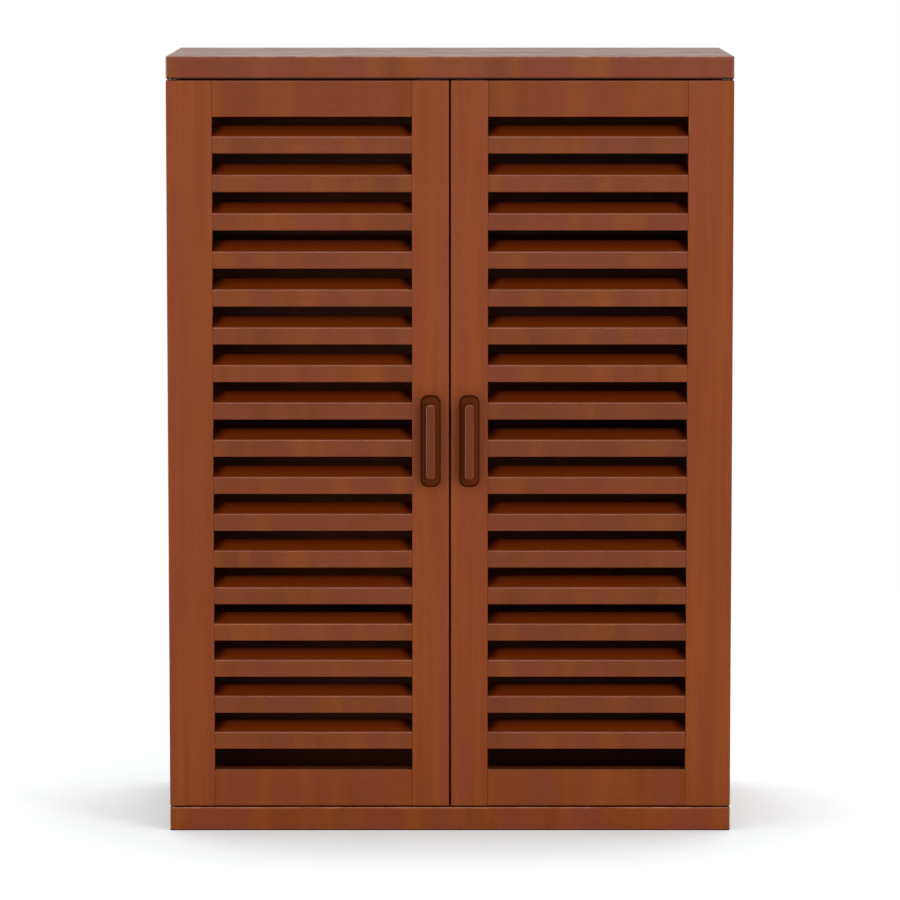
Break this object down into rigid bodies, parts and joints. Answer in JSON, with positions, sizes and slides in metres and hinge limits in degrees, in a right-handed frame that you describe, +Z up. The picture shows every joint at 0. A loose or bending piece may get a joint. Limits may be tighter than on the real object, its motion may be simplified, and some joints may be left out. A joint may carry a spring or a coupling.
{
  "type": "louvred door cabinet",
  "caption": "Free-standing louvred cabinet: framed slatted doors on pivot pins between thick top and bottom boards, with inner shelves, magnetic catches and upright handles.",
  "frame": {"origin": "middle of the flat base, on the floor, halfway across the width and halfway between the door fronts and the back", "axes": "+Z up, -Y out of the doors towards the user, +X to the right as the user faces the doors"},
  "size_m": [0.8, 0.4181, 1.104],
  "materials": {
    "board_wood": "reddish-brown hardwood, satin lacquer",
    "frame_wood": "reddish-brown hardwood, satin lacquer",
    "slat_wood": "reddish-brown hardwood, satin lacquer",
    "inner_wood": "reddish-brown hardwood, thin matt lacquer",
    "handle_wood": "dark-stained hardwood, satin lacquer",
    "fitting_steel": "dark bronzed plating",
    "catch_plastic": "moulded brown plastic"
  },
  "bodies": {
    "carcass": {"bottom_board": "board_wood", "top_board": "board_wood", "left_side_panel": "board_wood", "right_side_panel": "board_wood", "back_panel": "inner_wood", "shelf_1": "inner_wood", "shelf_2": "inner_wood", "shelf_3": "inner_wood", "left_lower_pivot_pin": "fitting_steel", "left_upper_pivot_pin": "fitting_steel", "right_lower_pivot_pin": "fitting_steel", "right_upper_pivot_pin": "fitting_steel", "left_magnet_catch": "catch_plastic", "right_magnet_catch": "catch_plastic"},
    "left_door": {"left_hinge_stile": "frame_wood", "left_meeting_stile": "frame_wood", "left_bottom_rail": "frame_wood", "left_top_rail": "frame_wood", "left_slat_01": "slat_wood", "left_slat_02": "slat_wood", "left_slat_03": "slat_wood", "left_slat_04": "slat_wood", "left_slat_05": "slat_wood", "left_slat_06": "slat_wood", "left_slat_07": "slat_wood", "left_slat_08": "slat_wood", "left_slat_09": "slat_wood", "left_slat_10": "slat_wood", "left_slat_11": "slat_wood", "left_slat_12": "slat_wood", "left_slat_13": "slat_wood", "left_slat_14": "slat_wood", "left_slat_15": "slat_wood", "left_slat_16": "slat_wood", "left_slat_17": "slat_wood", "left_handle": "handle_wood", "left_strike_plate": "fitting_steel"},
    "right_door": {"right_hinge_stile": "frame_wood", "right_meeting_stile": "frame_wood", "right_bottom_rail": "frame_wood", "right_top_rail": "frame_wood", "right_slat_01": "slat_wood", "right_slat_02": "slat_wood", "right_slat_03": "slat_wood", "right_slat_04": "slat_wood", "right_slat_05": "slat_wood", "right_slat_06": "slat_wood", "right_slat_07": "slat_wood", "right_slat_08": "slat_wood", "right_slat_09": "slat_wood", "right_slat_10": "slat_wood", "right_slat_11": "slat_wood", "right_slat_12": "slat_wood", "right_slat_13": "slat_wood", "right_slat_14": "slat_wood", "right_slat_15": "slat_wood", "right_slat_16": "slat_wood", "right_slat_17": "slat_wood", "right_handle": "handle_wood", "right_strike_plate": "fitting_steel"}
  },
  "joints": [
    {"name": "left_door_swing", "type": "hinge", "parent": "carcass", "child": "left_door", "pos_m": [-0.39, -0.19, 0.036], "axis": [0, 0, -1], "range_deg": [0, 110]},
    {"name": "right_door_swing", "type": "hinge", "parent": "carcass", "child": "right_door", "pos_m": [0.39, -0.19, 0.036], "axis": [0, 0, 1], "range_deg": [0, 110]}
  ]
}
